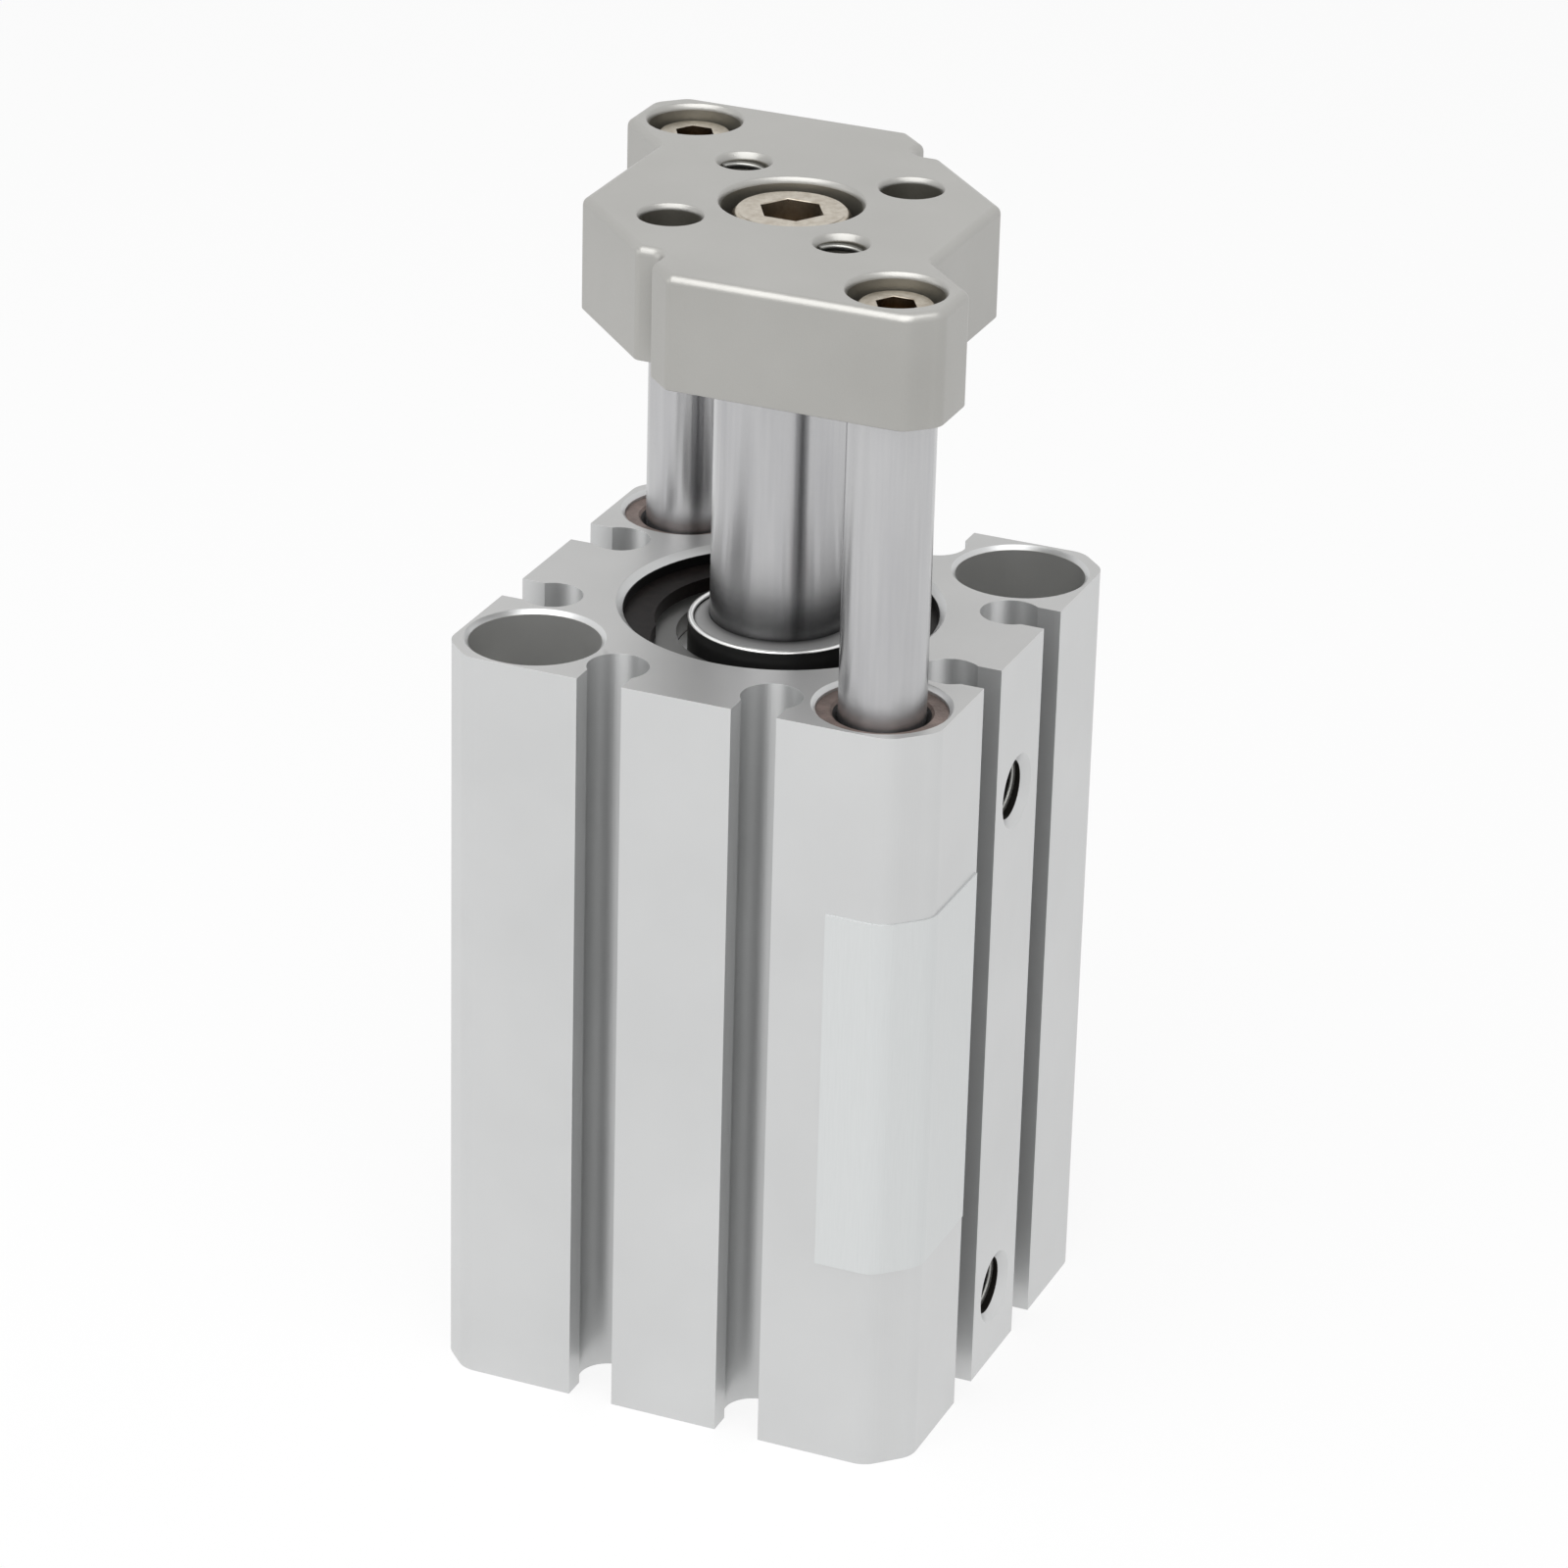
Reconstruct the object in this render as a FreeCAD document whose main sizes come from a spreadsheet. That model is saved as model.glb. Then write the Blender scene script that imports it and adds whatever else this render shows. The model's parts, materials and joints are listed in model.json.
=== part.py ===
import FreeCAD, Part
import Sketcher
import math
import os
from types import SimpleNamespace

# Guided pneumatic cylinder: a square tube with one piston rod and two guide rods that carry a plate.
# Millimetres, +Z towards the plate, origin on the tube's axis at its lower end face.
# The front guide rod stands at (+X, -Y) and the back one at (-X, +Y); the other two corners hold
# the mounting holes. The air ports are in the +X face.

SIZES = (
    # name, millimetres, what it is
    ("side_wall", 8.0, "square tube, from the bore to the middle of each side face"),
    ("mount_corner_cut", 2.3, "leg of the chamfer on the two corners with mounting holes"),
    ("guide_corner_cut", 2.6, "leg of the chamfer on the two corners with guide rods"),
    ("body_corner_round", 2.0, "rounding of the tube's upright edges"),
    ("mount_edge", 5.15, "mounting hole, centre from both side faces next to it"),
    ("guide_edge", 5.15, "guide rod, centre from both side faces next to it"),
    ("slot_to_guide", 7.18, "switch slot, centre from the guide rod's, along the face"),
    ("slot_mouth", 3.3, "switch slot, width of its mouth"),
    ("slot_round_radius", 2.15, "switch slot, radius of its round floor"),
    ("slot_round_depth", 3.1, "switch slot, centre of its round floor below the face"),
    ("bore_radius", 10.0, "cylinder bore"),
    ("end_seat_step", 1.0, "seats of the rod cover and of the bottom plate, out from the bore"),
    ("bore_rim_chamfer", 0.5, "chamfer at the mouth of the bore"),
    ("mount_hole_radius", 2.7, "mounting hole, which takes an M5 screw or an M6 thread"),
    ("mount_counterbore_radius", 4.6, "mounting hole, counterbore at both ends"),
    ("mount_counterbore_depth", 7.0, "mounting hole, depth of the counterbores"),
    ("hole_rim_chamfer", 0.3, "chamfer on the rims of counterbores and guide holes"),
    ("port_radius", 2.1, "M5 port, tapped hole"),
    ("port_depth", 5.5, "M5 port, depth below the face"),
    ("port_rim_chamfer", 0.6, "M5 port, chamfer at its mouth"),
    ("head_port_rise", 1.15, "head-end port above the bottom plate"),
    ("rod_port_drop", 2.4, "rod-end port below the rod cover's flange"),
    ("orifice_radius", 1.1, "air passage from a port to the bore"),
    ("press_gap", 0.02, "radial gap where a ring or plate is pressed in its seat"),
    ("running_gap", 0.03, "radial gap of a shaft in its bush, and of the rod in its seals"),
    ("ring_gap", 0.04, "gap of a seal or ring in its groove"),
    ("thread_gap", 0.05, "radial gap between a screw and its tapped hole"),
    ("stop_gap", 0.05, "gap between the piston and a bumper at the end of the stroke"),
    ("clear_gap", 0.3, "radial gap where a part passes another freely"),
    ("swaged_lip_height", 0.6, "lip of the tube folded in under the bottom plate"),
    ("swaged_lip_width", 0.4, "how far that lip reaches in"),
    ("bottom_plate_thickness", 4.0, "bottom plate"),
    ("gasket_thickness", 1.3, "round section of the two static gaskets"),
    ("gasket_groove_width", 1.8, "width of their grooves"),
    ("bottom_gasket_height", 1.1, "lower wall of the bottom plate's groove above its lower face"),
    ("bumper_proud", 1.2, "how far each bumper stands out of its seat"),
    ("bumper_seat_depth", 0.8, "depth of a bumper's seat"),
    ("bumper_inset", 1.8, "bumper rings, in from the bore"),
    ("bumper_rod_gap", 1.4, "bumper rings, inside, out from the piston rod's surface"),
    ("stroke", 25.0, "travel of the piston"),
    ("rest_extension", 17.0, "how far the rod is out in the rest pose"),
    ("piston_clearance", 0.15, "radial gap of the piston in the bore"),
    ("piston_end_chamfer", 1.0, "chamfer at both ends of the piston, where the air comes in"),
    ("seal_groove_depth", 3.0, "grooves of the piston seal and the magnet, in from the bore"),
    ("seal_width", 2.4, "piston seal, along the axis"),
    ("seal_lip", 0.7, "piston seal, height of its two lips above the valley between them"),
    ("magnet_width", 2.4, "magnet ring, along the axis"),
    ("wear_ring_width", 1.6, "wear ring, along the axis"),
    ("wear_ring_thickness", 1.2, "wear ring, across its section"),
    ("groove_land", 0.65, "land between two grooves of the piston"),
    ("spigot_step", 1.8, "end of the piston rod inside the piston, in from the rod's surface"),
    ("rivet_height", 1.0, "head closed over at the end of the rod, inside the piston"),
    ("rod_gasket_thickness", 0.9, "section of the gasket between the rod and the piston"),
    ("rod_radius", 5.0, "piston rod"),
    ("rod_end_chamfer", 0.4, "chamfer at the ends of the rods"),
    ("guide_rod_radius", 3.0, "guide rods"),
    ("guide_rod_end_gap", 1.3, "guide rod's lower end above the tube's lower face, rod fully in"),
    ("guide_bush_wall", 1.5, "guide bushes, out from the guide rod's surface"),
    ("guide_bush_length", 10.0, "guide bushes"),
    ("guide_bush_drop", 0.5, "upper guide bush below the tube's upper face"),
    ("guide_bush_chamfer", 0.5, "chamfer at both mouths of a guide bush"),
    ("guide_relief_gap", 0.7, "guide hole below the lower bush, out from the guide rod"),
    ("guide_rod_overrun", 1.0, "guide rod past the lower bush, rod fully out"),
    ("cover_length", 10.5, "rod cover, along the axis"),
    ("cover_drop", 2.2, "rod cover's upper face below the tube's upper face"),
    ("cover_flange_length", 6.1, "rod cover, the part in its seat"),
    ("cover_nose_gap", 1.0, "air space round the rod cover's nose"),
    ("cover_gasket_drop", 2.0, "rod cover's gasket groove below its upper face"),
    ("cover_pocket_width", 2.3, "pocket for the rod seal and the scraper, out from the rod"),
    ("cover_pocket_depth", 4.6, "depth of that pocket"),
    ("cover_lip", 0.6, "lips at both ends of the rod bushing, along the axis"),
    ("rod_bushing_thickness", 1.0, "wall of the rod bushing"),
    ("rod_seal_height", 2.4, "rod seal, along the axis"),
    ("rod_seal_valley", 0.9, "valley between the lips of the rod seal"),
    ("scraper_foot_height", 0.8, "foot of the scraper's metal case"),
    ("scraper_reach", 1.5, "scraper's metal case above its foot, out from the rod"),
    ("scraper_wall", 0.35, "wall of the scraper's metal case"),
    ("scraper_proud", 1.2, "scraper above the rod cover's face"),
    ("scraper_lip_rise", 0.5, "rise of the scraper's lip towards the rod"),
    ("scraper_lip_step", 0.2, "scraper's lip below the rim of its case"),
    ("clip_thickness", 1.0, "retaining ring"),
    ("clip_groove_depth", 0.6, "groove for the retaining ring, out from the seat"),
    ("clip_width", 2.76, "retaining ring, across its widest part"),
    ("clip_taper_step", 1.35, "second inside circle, which thins the ring's ends: smaller by this"),
    ("clip_taper_offset", 4.0, "centre of that circle towards the gap"),
    ("clip_opening", 10.0, "gap between the ring's ends"),
    ("plate_thickness", 8.0, "guide plate"),
    ("plate_gap", 4.5, "guide plate above the tube, rod fully in"),
    ("plate_ear_margin", 4.35, "guide plate's ears, out from the centres of the guide rods"),
    ("plate_waist_inset", 5.0, "guide plate's waist, in from the sides of the tube"),
    ("plate_ear_cut", 1.9, "chamfer on the outer corner of an ear"),
    ("ear_side_drop", 1.95, "where an ear's short edge ends, in from the guide rod's centre"),
    ("ear_long_start", 1.5, "where an ear's long edge starts, from the middle on the far side"),
    ("ear_step", 3.5, "step from the waist to an ear, from the middle"),
    ("ear_step_height", 2.3, "height of that step"),
    ("ear_step_round", 1.0, "rounding in the foot of that step"),
    ("ear_corner_round", 1.5, "rounding of the upright edges of an ear's outer corner"),
    ("plate_corner_reach", 5.6, "where the waist's corner cut starts, from the middle"),
    ("plate_corner_round", 0.7, "rounding of the plate's other upright edges"),
    ("plate_edge_round", 0.6, "rounding of the plate's upper edge"),
    ("centre_head_gap", 0.75, "radial gap of the centre screw's head in its counterbore"),
    ("centre_head_sink", 0.6, "head of the centre screw below the plate's face"),
    ("centre_head_radius", 4.05, "head of the centre screw"),
    ("centre_head_height", 5.0, "head of the centre screw"),
    ("centre_shank_radius", 2.5, "M5 thread of the centre screw"),
    ("centre_shank_length", 12.0, "centre screw under its head"),
    ("centre_hex", 4.0, "key of the centre screw, across flats"),
    ("centre_hex_depth", 2.6, "depth of its socket"),
    ("side_head_gap", 0.45, "radial gap of those screws' heads in their counterbores"),
    ("side_head_sink", 0.95, "heads of the guide rod screws below the plate's face"),
    ("side_head_radius", 2.75, "heads of the guide rod screws"),
    ("side_head_height", 3.0, "heads of the guide rod screws"),
    ("side_shank_radius", 1.5, "M3 thread of the guide rod screws"),
    ("side_shank_length", 9.0, "guide rod screws under their heads"),
    ("side_hex", 2.5, "key of the guide rod screws, across flats"),
    ("side_hex_depth", 1.5, "depth of their sockets"),
    ("screw_edge_chamfer", 0.35, "chamfer on the rim of a screw's head"),
    ("tip_gap", 1.0, "room under a screw's tip in its tapped hole"),
    ("shank_clearance", 0.25, "radial gap of a screw in the plate"),
    ("payload_pitch", 12.4, "guide plate's fixing holes, from one to the next along X and Y"),
    ("payload_thread_radius", 1.65, "guide plate, two M4 tapped holes"),
    ("payload_thread_rim", 2.0, "guide plate, countersink of the tapped holes"),
    ("payload_plain_radius", 2.05, "guide plate, two plain holes"),
    ("plate_rim_chamfer", 0.25, "chamfer on the rims of the plate's plain holes and counterbores"),
    ("plate_rim_depth", 0.45, "depth of the chamfers on the rims of all the plate's holes"),
    ("label_thickness", 0.12, "blank label"),
    ("label_height", 26.8, "blank label, along the tube"),
    ("label_drop", 13.7, "blank label's upper edge below the tube's upper face"),
    ("label_front_width", 6.7, "blank label on the front face, in from the corner of the tube"),
    ("label_side_margin", 0.15, "blank label's edge on the +X face, short of the switch slot"),
    ("cut_margin", 1.0, "how far a cutting shape runs past the face it opens"),
)


class Size:
    """A length worked out from the sheet: its value now, and the expression that keeps it so."""

    def __init__(self, value, text):
        self.value = value
        self.text = text

    def __add__(self, other):
        other = as_size(other)
        return Size(self.value + other.value, f"({self.text} + {other.text})")

    def __sub__(self, other):
        other = as_size(other)
        return Size(self.value - other.value, f"({self.text} - {other.text})")

    def __mul__(self, other):
        other = as_size(other)
        return Size(self.value * other.value, f"({self.text} * {other.text})")

    def __truediv__(self, other):
        other = as_size(other)
        return Size(self.value / other.value, f"({self.text} / {other.text})")

    def __neg__(self):
        return Size(-self.value, f"(-1 * {self.text})")


def as_size(number):
    """A bare number, such as the 2 of a half width, as a Size."""
    if isinstance(number, Size):
        return number
    return Size(float(number), f"{float(number):.9f}")


ZERO = Size(0.0, "0")
FULL_TURN = 360.0
HEX_CORNERS = 6
LENGTH_TOLERANCE = 1e-6
VOLUME_TOLERANCE = 1e-6

doc = FreeCAD.newDocument("GuidedCylinder")


def make_sheet():
    """The driving dimensions, one row each: name, value and note."""
    sheet = doc.addObject("Spreadsheet::Sheet", "Sizes")
    for row, (name, value, note) in enumerate(SIZES, start=1):
        sheet.set(f"A{row}", name)
        sheet.set(f"B{row}", str(value))
        sheet.setAlias(f"B{row}", name)
        sheet.set(f"C{row}", note)
    doc.recompute()
    return SimpleNamespace(**{name: Size(value, f"Sizes.{name}") for name, value, _ in SIZES})


s = make_sheet()


# Lengths and heights that several pieces share.

half_width = s.bore_radius + s.side_wall
mount_place = half_width - s.mount_edge
guide_place = half_width - s.guide_edge
payload_place = s.payload_pitch / 2
slot_place = guide_place - s.slot_to_guide

end_seat_radius = s.bore_radius + s.end_seat_step
clip_groove_radius = end_seat_radius + s.clip_groove_depth
bumper_outer_radius = s.bore_radius - s.bumper_inset
bumper_inner_radius = s.rod_radius + s.bumper_rod_gap
piston_radius = s.bore_radius - s.piston_clearance
seal_groove_floor = s.bore_radius - s.seal_groove_depth
spigot_radius = s.rod_radius - s.spigot_step
cover_pocket_radius = s.rod_radius + s.cover_pocket_width
scraper_radius = s.rod_radius + s.scraper_reach
guide_bush_radius = s.guide_rod_radius + s.guide_bush_wall

wear_low = s.piston_end_chamfer + s.groove_land
wear_high = wear_low + s.wear_ring_width
magnet_low = wear_high + s.groove_land
magnet_high = magnet_low + s.magnet_width
seal_low = magnet_high + s.groove_land
seal_high = seal_low + s.seal_width
piston_length = seal_high + s.groove_land + s.piston_end_chamfer

cavity_floor = s.swaged_lip_height + s.bottom_plate_thickness
piston_retracted = cavity_floor + s.bumper_proud + s.stop_gap
piston_bottom = piston_retracted + s.rest_extension
cover_bottom = piston_retracted + s.stroke + piston_length + s.stop_gap + s.bumper_proud
cover_top = cover_bottom + s.cover_length
body_height = cover_top + s.cover_drop
cover_shoulder = cover_top - s.cover_flange_length
pocket_floor = cover_top - s.cover_pocket_depth
scraper_top = cover_top + s.scraper_proud
plate_bottom = body_height + s.plate_gap + s.rest_extension
guide_rod_length = body_height + s.plate_gap - s.guide_rod_end_gap
guide_rod_bottom = plate_bottom - guide_rod_length
lower_bush_bottom = s.guide_rod_end_gap + s.stroke + s.guide_rod_overrun
upper_bush_bottom = body_height - s.guide_bush_drop - s.guide_bush_length
centre_counterbore_depth = s.centre_head_height + s.centre_head_sink
side_counterbore_depth = s.side_head_height + s.side_head_sink
centre_web = s.plate_thickness - centre_counterbore_depth
side_web = s.plate_thickness - side_counterbore_depth


# Helpers that make features bound to the sheet.

def bind(feature, **properties):
    """Sets each property of a feature to a Size, through the expression engine."""
    for name, size in properties.items():
        feature.setExpression(name.replace("__", "."), size.text)


def new_body(label, x=ZERO, y=ZERO, z=ZERO):
    """A PartDesign body with its own origin at x, y, z."""
    body = doc.addObject("PartDesign::Body", label)
    body.Label = label
    bind(body, Placement__Base__x=x, Placement__Base__y=y, Placement__Base__z=z)
    return body


def new_sketch(body, name, plane, offset=ZERO):
    """A sketch on one of the body's origin planes, moved along the plane's normal."""
    sketch = body.newObject("Sketcher::SketchObject", f"{body.Label}_{name}")
    support = [item for item in body.Origin.OriginFeatures if item.Role == plane][0]
    sketch.AttachmentSupport = [(support, "")]
    sketch.MapMode = "FlatFace"
    bind(sketch, AttachmentOffset__Base__z=offset)
    return sketch


def fix_point(sketch, geometry, point, x, y):
    """Ties one point of a sketch's geometry to the sheet, from the sketch's origin."""
    for kind, axis, size in (("DistanceX", -2, x), ("DistanceY", -1, y)):
        if size is ZERO:
            sketch.addConstraint(Sketcher.Constraint("PointOnObject", geometry, point, axis))
            continue
        index = sketch.addConstraint(
            Sketcher.Constraint(kind, -1, 1, geometry, point, size.value))
        sketch.setExpression(f"Constraints[{index}]", size.text)


def draw_polygon(sketch, corners):
    """A closed outline through the corners, each a pair of Sizes."""
    count = len(corners)
    points = [FreeCAD.Vector(x.value, y.value, 0) for x, y in corners]
    first = sketch.GeometryCount
    for index in range(count):
        sketch.addGeometry(Part.LineSegment(points[index], points[(index + 1) % count]))
    for index in range(count):
        following = first + (index + 1) % count
        sketch.addConstraint(
            Sketcher.Constraint("Coincident", first + index, 2, following, 1))
    for index, (x, y) in enumerate(corners):
        fix_point(sketch, first + index, 1, x, y)


def draw_circle(sketch, x, y, radius):
    """A circle whose centre and radius are tied to the sheet."""
    centre = FreeCAD.Vector(x.value, y.value, 0)
    circle = sketch.addGeometry(
        Part.Circle(centre, FreeCAD.Vector(0, 0, 1), radius.value))
    index = sketch.addConstraint(Sketcher.Constraint("Radius", circle, radius.value))
    sketch.setExpression(f"Constraints[{index}]", radius.text)
    fix_point(sketch, circle, 3, x, y)


def extrude(body, sketch, kind, length, reverse=False):
    """A Pad or a Pocket of a sketch."""
    feature = body.newObject(f"PartDesign::{kind}", f"{sketch.Name}_{kind.lower()}")
    feature.Profile = sketch
    feature.Reversed = reverse
    bind(feature, Length=length)
    return feature


def turn(body, name, outline, kind="Revolution"):
    """A Revolution or Groove about the body's own axis of an outline of (radius, height) pairs."""
    sketch = new_sketch(body, name, "XZ_Plane")
    draw_polygon(sketch, outline)
    feature = body.newObject(f"PartDesign::{kind}", f"{sketch.Name}_turned")
    feature.Profile = sketch
    feature.ReferenceAxis = (sketch, ["V_Axis"])
    feature.Angle = FULL_TURN
    return feature


def turned_body(label, outline, x=ZERO, y=ZERO, z=ZERO):
    """A body that is one turned piece, with its axis through x, y and its outline starting at z."""
    body = new_body(label, x, y, z)
    turn(body, "profile", outline)
    return body


def drill(body, name, radius, depth, x=ZERO, y=ZERO, z=ZERO):
    """A round hole of a given depth, upwards from x, y, z."""
    hole = body.newObject("PartDesign::SubtractiveCylinder", f"{body.Label}_{name}")
    hole.Angle = FULL_TURN
    bind(hole, Radius=radius, Height=depth,
         Placement__Base__x=x, Placement__Base__y=y, Placement__Base__z=z)
    return hole


def countersink(body, name, lower_radius, upper_radius, depth, x=ZERO, y=ZERO, z=ZERO):
    """A conical cut, upwards from x, y, z."""
    cone = body.newObject("PartDesign::SubtractiveCone", f"{body.Label}_{name}")
    cone.Angle = FULL_TURN
    bind(cone, Radius1=lower_radius, Radius2=upper_radius, Height=depth,
         Placement__Base__x=x, Placement__Base__y=y, Placement__Base__z=z)
    return cone


def aim_along_x(feature):
    """Turns a hole's own axis from +Z to +X."""
    feature.Placement.Rotation = FreeCAD.Rotation(FreeCAD.Vector(0, 1, 0), 90)


def tube_ring(inner, outer, low, high):
    """The outline of a plain ring."""
    return [(inner, low), (outer, low), (outer, high), (inner, high)]


def mirrored_points(points):
    """The outline's points and the same points turned half way round."""
    return points + [(-x, -y) for x, y in points]


# The tube and what it holds.

def make_tube():
    """Square tube: bore, seats, slots, mounting holes, guide holes and ports."""
    body = new_body("cylinder_tube")
    near_mount = half_width - s.mount_corner_cut
    near_guide = half_width - s.guide_corner_cut
    outline = mirrored_points([
        (-near_mount, -half_width), (near_guide, -half_width),
        (half_width, -near_guide), (half_width, near_mount),
    ])
    sketch = new_sketch(body, "section", "XY_Plane")
    draw_polygon(sketch, outline)
    pad = extrude(body, sketch, "Pad", body_height)
    round_edges(body, pad, "corners", s.body_corner_round,
                lambda shape: upright_edges(shape, [], False))

    cut_switch_slots(body)
    cut_bore(body)
    cut_mounting_holes(body)
    cut_guide_holes(body)
    cut_port(body, "head_port", cavity_floor + s.head_port_rise)
    cut_port(body, "rod_port", cover_shoulder - s.rod_port_drop)
    return body


def cut_switch_slots(body):
    """Two slots in each face: a narrow mouth over a round floor."""
    mouths = new_sketch(body, "slot_mouths", "XY_Plane", body_height)
    floors = new_sketch(body, "slot_floors", "XY_Plane", body_height)
    floor_place = s.slot_round_depth - half_width
    for side in (-1, 1):
        centre = slot_place * side
        left = centre - s.slot_mouth / 2
        right = centre + s.slot_mouth / 2
        outside = -half_width - s.cut_margin
        draw_polygon(mouths, [
            (left, outside), (right, outside), (right, floor_place), (left, floor_place)])
        draw_circle(floors, centre, floor_place, s.slot_round_radius)
    cuts = []
    for sketch in (mouths, floors):
        pocket = extrude(body, sketch, "Pocket", body_height)
        pocket.Type = "ThroughAll"
        cuts.append(pocket)
    doc.recompute()
    pattern = body.newObject("PartDesign::PolarPattern", "cylinder_tube_slot_pattern")
    pattern.Originals = cuts
    pattern.Axis = (mouths, ["N_Axis"])
    pattern.Angle = FULL_TURN
    pattern.Occurrences = 4
    body.Tip = pattern


def cut_bore(body):
    """Bore with a seat at each end, the retaining ring's groove and the swaged lip."""
    lip_radius = end_seat_radius - s.swaged_lip_width
    clip_top = cover_top + s.clip_thickness
    rim_start = body_height - s.bore_rim_chamfer
    rim_radius = end_seat_radius + s.bore_rim_chamfer
    top = body_height + s.cut_margin
    turn(body, "bore", [
        (ZERO, -s.cut_margin), (lip_radius, -s.cut_margin), (lip_radius, s.swaged_lip_height),
        (end_seat_radius, s.swaged_lip_height), (end_seat_radius, cavity_floor),
        (s.bore_radius, cavity_floor), (s.bore_radius, cover_shoulder),
        (end_seat_radius, cover_shoulder), (end_seat_radius, cover_top),
        (clip_groove_radius, cover_top), (clip_groove_radius, clip_top), (end_seat_radius, clip_top),
        (end_seat_radius, rim_start), (rim_radius, body_height), (rim_radius, top),
        (ZERO, top),
    ], kind="Groove")


def cut_mounting_holes(body):
    """A through hole with a chamfered counterbore at both ends, at two opposite corners."""
    rim_radius = s.mount_counterbore_radius + s.hole_rim_chamfer
    upper_floor = body_height - s.mount_counterbore_depth
    for name, side in (("left", -1), ("right", 1)):
        place = {"x": mount_place * side, "y": mount_place * side}
        drill(body, f"{name}_mount_hole", s.mount_hole_radius, body_height, **place)
        drill(body, f"{name}_lower_counterbore", s.mount_counterbore_radius,
              s.mount_counterbore_depth, **place)
        drill(body, f"{name}_upper_counterbore", s.mount_counterbore_radius,
              s.mount_counterbore_depth, z=upper_floor, **place)
        countersink(body, f"{name}_lower_rim", rim_radius, s.mount_counterbore_radius,
                    s.hole_rim_chamfer, **place)
        countersink(body, f"{name}_upper_rim", s.mount_counterbore_radius, rim_radius,
                    s.hole_rim_chamfer, z=body_height - s.hole_rim_chamfer, **place)


def cut_guide_holes(body):
    """A hole for two bushes from the upper face, and a smaller one through the lower end."""
    bush_seat = guide_bush_radius + s.press_gap
    rim_radius = bush_seat + s.hole_rim_chamfer
    relief = s.guide_rod_radius + s.guide_relief_gap
    relief_rim = relief + s.hole_rim_chamfer
    for name, side in (("front", 1), ("back", -1)):
        place = {"x": guide_place * side, "y": -guide_place * side}
        drill(body, f"{name}_guide_relief", relief, body_height, **place)
        drill(body, f"{name}_guide_hole", bush_seat, body_height - lower_bush_bottom,
              z=lower_bush_bottom, **place)
        countersink(body, f"{name}_guide_lower_rim", relief_rim, relief, s.hole_rim_chamfer, **place)
        countersink(body, f"{name}_guide_upper_rim", bush_seat, rim_radius,
                    s.hole_rim_chamfer, z=body_height - s.hole_rim_chamfer, **place)


def cut_port(body, name, height):
    """A tapped port in the +X face, with the air passage from it to the bore."""
    inner_end = half_width - s.port_depth
    rim_radius = s.port_radius + s.port_rim_chamfer
    aim_along_x(drill(body, f"{name}_passage", s.orifice_radius, half_width - s.bore_radius / 2,
                      x=s.bore_radius / 2, z=height))
    aim_along_x(drill(body, f"{name}_thread", s.port_radius, s.port_depth + s.cut_margin,
                      x=inner_end, z=height))
    aim_along_x(countersink(body, f"{name}_rim", s.port_radius, rim_radius, s.port_rim_chamfer,
                            x=half_width - s.port_rim_chamfer, z=height))


def make_bottom_plate():
    """Disc that closes the head end, with a gasket groove and a seat for the bumper."""
    outer = end_seat_radius - s.press_gap
    groove_floor = outer - s.gasket_thickness
    groove_low = s.bottom_gasket_height
    groove_high = groove_low + s.gasket_groove_width
    top = s.bottom_plate_thickness
    seat_floor = top - s.bumper_seat_depth
    seat_inner = bumper_inner_radius - s.ring_gap
    seat_outer = bumper_outer_radius + s.ring_gap
    turned_body("bottom_plate", [
        (ZERO, ZERO), (outer, ZERO), (outer, groove_low), (groove_floor, groove_low),
        (groove_floor, groove_high), (outer, groove_high), (outer, top), (seat_outer, top),
        (seat_outer, seat_floor), (seat_inner, seat_floor), (seat_inner, top), (ZERO, top),
    ], z=s.swaged_lip_height)


def make_round_ring(label, inner, outer, middle):
    """A gasket of round section between two radii, as it sits squeezed in its groove."""
    body = new_body(label)
    sketch = new_sketch(body, "profile", "XZ_Plane")
    draw_circle(sketch, (inner + outer) / 2, middle, (outer - inner) / 2 - s.ring_gap)
    ring = body.newObject("PartDesign::Revolution", f"{label}_turned")
    ring.Profile = sketch
    ring.ReferenceAxis = (sketch, ["V_Axis"])
    ring.Angle = FULL_TURN


def make_static_gaskets():
    """Gaskets of the bottom plate and of the rod cover, both against the tube's end seats."""
    inner = end_seat_radius - s.press_gap - s.gasket_thickness
    half_groove = s.gasket_groove_width / 2
    make_round_ring("bottom_gasket", inner, end_seat_radius,
                    s.swaged_lip_height + s.bottom_gasket_height + half_groove)
    make_round_ring("rod_cover_gasket", inner, end_seat_radius,
                    cover_top - s.cover_gasket_drop - half_groove)


def make_bumpers():
    """Rubber rings that stop the piston at both ends of the stroke."""
    length = s.bumper_proud + s.bumper_seat_depth - s.ring_gap
    outline = tube_ring(bumper_inner_radius, bumper_outer_radius, ZERO, length)
    turned_body("head_bumper", outline, z=cavity_floor - s.bumper_seat_depth + s.ring_gap)
    turned_body("rod_bumper", outline, z=cover_bottom - s.bumper_proud)


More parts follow.
